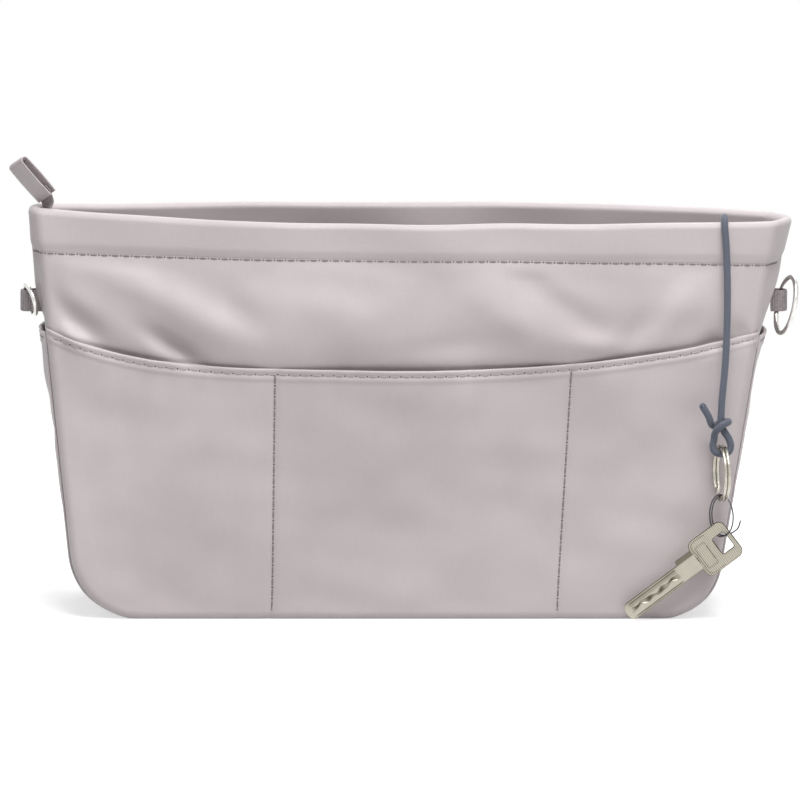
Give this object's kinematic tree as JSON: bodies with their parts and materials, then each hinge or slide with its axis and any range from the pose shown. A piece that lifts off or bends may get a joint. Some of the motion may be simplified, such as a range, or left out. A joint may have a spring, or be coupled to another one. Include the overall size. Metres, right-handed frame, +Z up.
{
  "type": "purse organizer insert",
  "caption": "Soft fabric handbag organizer insert, open mouth with zip, slip pockets round the outside, side rings and a hanging key leash with rings and key.",
  "frame": {"origin": "middle of the flat base, on the surface that the bag stands on", "axes": "+X to the right seen from the pocket front, -Y out of the pocket front, +Z up"},
  "size_m": [0.3327, 0.1034, 0.1917],
  "materials": {
    "nylon": "satin woven nylon, warm grey",
    "lining": "plain woven lining, warm grey",
    "foam": "thin foam interlining",
    "board": "stiff board",
    "webbing": "narrow woven strap",
    "nickel": "bright nickel plate",
    "tape": "zip tape weave",
    "cord": "slate elastic cord",
    "key_metal": "worn nickel",
    "dark_wire": "dark wire"
  },
  "bodies": {
    "bag": {"front_panel": "nylon", "back_panel": "nylon", "gusset": "nylon", "front_foam": "foam", "back_foam": "foam", "front_lining": "lining", "back_lining": "lining", "gusset_lining": "lining", "base_board": "board", "rim_band": "nylon", "front_pocket": "nylon", "back_pocket": "nylon", "left_side_pocket": "nylon", "right_side_pocket": "nylon", "inner_front_pocket": "lining", "inner_back_pocket": "lining", "left_strap_loop": "webbing", "right_strap_loop": "webbing", "zip_tape_front": "tape", "zip_tape_back": "tape", "zip_teeth_front": "nickel", "zip_teeth_back": "nickel", "zip_tail": "tape", "leash_anchor": "lining", "leash_cord_inside": "cord"},
    "left_ring": {"left_d_ring": "nickel"},
    "right_ring": {"right_o_ring": "nickel"},
    "slider": {"zip_slider": "nickel"},
    "pull": {"zip_pull": "nickel"},
    "end_tab": {"zip_end_tab": "nylon"},
    "leash": {"leash_cord": "cord", "leash_knot": "cord", "leash_loop": "cord", "leash_tail": "cord"},
    "split_ring": {"key_split_ring": "key_metal"},
    "wire_ring": {"key_wire_ring": "dark_wire"},
    "key": {"key": "key_metal"}
  },
  "joints": [
    {"name": "left_ring_swing", "type": "hinge", "parent": "bag", "child": "left_ring", "pos_m": [-0.15436, 0, 0.13], "axis": [0, 0, 1], "range_deg": [-195, 0]},
    {"name": "right_ring_swing", "type": "hinge", "parent": "bag", "child": "right_ring", "pos_m": [0.16175, 0, 0.13], "axis": [0, 0, 1], "range_deg": [0, 150]},
    {"name": "zip_slider_run", "type": "slide", "parent": "bag", "child": "slider", "axis": [1, 0, 0], "range_m": [0, 0.012]},
    {"name": "zip_pull_flip", "type": "hinge", "parent": "slider", "child": "pull", "pos_m": [-0.141, 0, 0.13105], "axis": [0, 1, 0], "range_deg": [-75, 5]},
    {"name": "zip_tab_flex", "type": "hinge", "parent": "bag", "child": "end_tab", "pos_m": [-0.14591, 0, 0.1732], "axis": [0, 1, 0], "range_deg": [-12, 40], "stiffness_Nm_per_rad": 0.01},
    {"name": "leash_swing", "type": "hinge", "parent": "bag", "child": "leash", "pos_m": [0.1387, -0.0246, 0.1672], "axis": [-1, 0, 0], "range_deg": [0, 40]},
    {"name": "split_ring_swing", "type": "hinge", "parent": "leash", "child": "split_ring", "pos_m": [0.1374, -0.048, 0.0711], "axis": [-1, 0, 0], "range_deg": [0, 50]},
    {"name": "wire_ring_swing", "type": "hinge", "parent": "split_ring", "child": "wire_ring", "pos_m": [0.1374, -0.048, 0.0517], "axis": [0, 1, 0], "range_deg": [0, 35]},
    {"name": "key_swing", "type": "hinge", "parent": "wire_ring", "child": "key", "pos_m": [0.1374, -0.048, 0.036], "axis": [0, 1, 0], "range_deg": [0, 40]}
  ]
}
